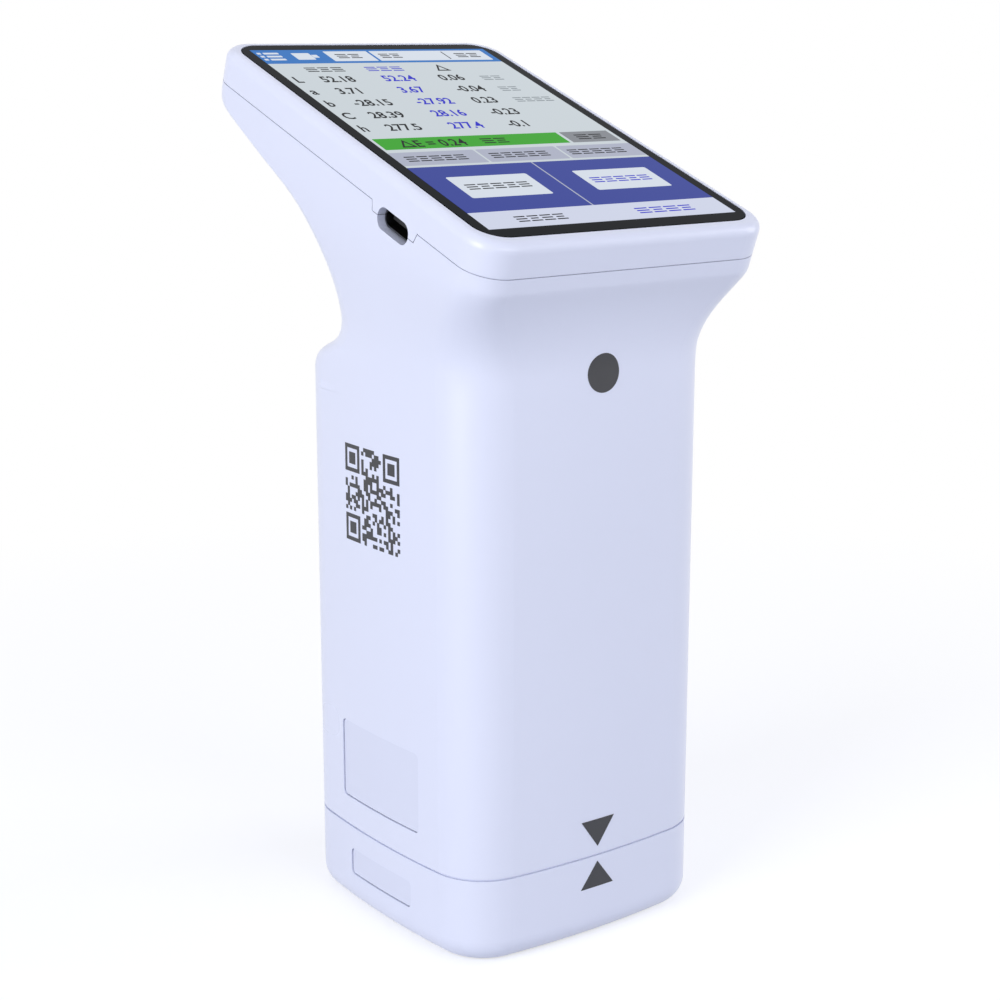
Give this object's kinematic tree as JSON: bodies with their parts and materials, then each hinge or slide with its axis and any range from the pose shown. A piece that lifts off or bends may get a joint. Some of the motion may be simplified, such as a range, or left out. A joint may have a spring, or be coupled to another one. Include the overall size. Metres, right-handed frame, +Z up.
{
  "type": "portable_colorimeter",
  "caption": "Upright hand-held colour meter with a tilted touch display, a finger scoop behind its neck and a calibration base with a white tile that it lifts off.",
  "frame": {"origin": "centre of the calibration base's flat underside, on the optical axis of the measuring aperture", "axes": "+Z up, -Y towards the user and the lower edge of the display, +X to the user's right"},
  "size_m": [0.062, 0.0864, 0.1575],
  "materials": {
    "white_shell": "semi-gloss moulded",
    "black_plastic": "fine matte moulded",
    "screw_steel": "zinc plated",
    "magnet": "nickel plated",
    "label_film": "satin film",
    "foam": "closed-cell foam",
    "white_ceramic": "glazed",
    "anodised_aluminium": "black anodised",
    "sphere_plastic": "diffuse white",
    "lamp_resin": "clear yellowish resin",
    "circuit_board": "solder mask",
    "lens_glass": "polished",
    "chip_resin": "moulded resin",
    "battery_wrap": "shrink film",
    "key_plastic": "satin moulded",
    "switch_plastic": "moulded",
    "display_glass": "polished with a black printed border",
    "panel_metal": "drawn sheet"
  },
  "bodies": {
    "base": {"base_shell": "white_shell", "base_deck": "black_plastic", "base_deck_screws": "screw_steel", "base_magnets": "magnet", "base_label": "label_film", "tile_holder": "black_plastic", "tile_cushion": "foam", "white_tile": "white_ceramic"},
    "instrument": {"body_shell": "white_shell", "body_label": "label_film", "end_plate": "black_plastic", "end_plate_screws": "screw_steel", "end_magnets": "magnet", "measuring_nose": "anodised_aluminium", "sphere_lower": "sphere_plastic", "sphere_upper": "sphere_plastic", "sphere_screws": "screw_steel", "lamps": "lamp_resin", "lamp_boards": "circuit_board", "sensor_barrel": "anodised_aluminium", "sensor_lens": "lens_glass", "sensor_board": "circuit_board", "sensor_chip": "chip_resin", "battery_tray": "black_plastic", "battery": "battery_wrap", "tray_screws": "screw_steel", "key_switch": "switch_plastic", "key_board": "circuit_board", "key_screws": "screw_steel", "head_cover": "white_shell", "touch_glass": "display_glass", "glass_tape": "foam", "display_panel": "panel_metal", "main_board": "circuit_board", "board_components": "chip_resin", "radio_module": "panel_metal", "beeper": "black_plastic", "board_screws": "screw_steel", "usb_receptacle": "panel_metal", "usb_insert": "black_plastic"},
    "measure_key": {"measure_key": "key_plastic", "key_plunger": "switch_plastic"}
  },
  "joints": [
    {"name": "instrument_lift", "type": "slide", "parent": "base", "child": "instrument", "axis": [0, 0, 1], "range_m": [0, 0.05]},
    {"name": "key_press", "type": "slide", "parent": "instrument", "child": "measure_key", "axis": [0, -1, 0], "range_m": [0, 0.0006], "stiffness_N_per_m": 2500, "springref_m": -0.0002}
  ]
}
